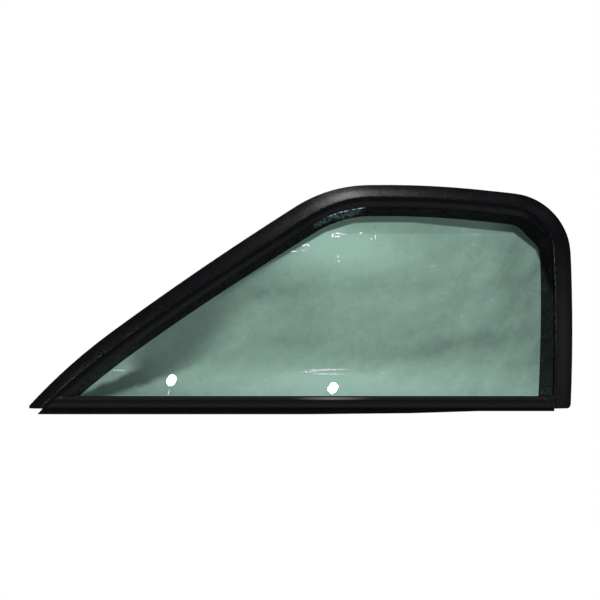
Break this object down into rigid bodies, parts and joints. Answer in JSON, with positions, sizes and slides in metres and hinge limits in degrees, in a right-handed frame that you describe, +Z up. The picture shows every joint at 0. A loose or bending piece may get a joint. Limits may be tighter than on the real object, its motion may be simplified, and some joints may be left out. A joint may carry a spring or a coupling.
{
  "type": "quarter window glass",
  "caption": "Curved green-tinted quarter window glass in a black rubber surround seal with a sill strip, pointed front end and upright rear edge.",
  "frame": {"origin": "on the flat underside of the sill strip's base, half-way through its thickness", "axes": "+Z up as fitted, +X along the car towards the upright rear edge, -Y the outer face of the car"},
  "size_m": [0.7886, 0.0255, 0.3337],
  "materials": {
    "tinted_glass": "polished",
    "seal_rubber": "satin",
    "strip_rubber": "satin"
  },
  "bodies": {
    "root": {"glass_pane": "tinted_glass", "surround_seal": "seal_rubber", "sill_strip": "strip_rubber"}
  },
  "joints": []
}
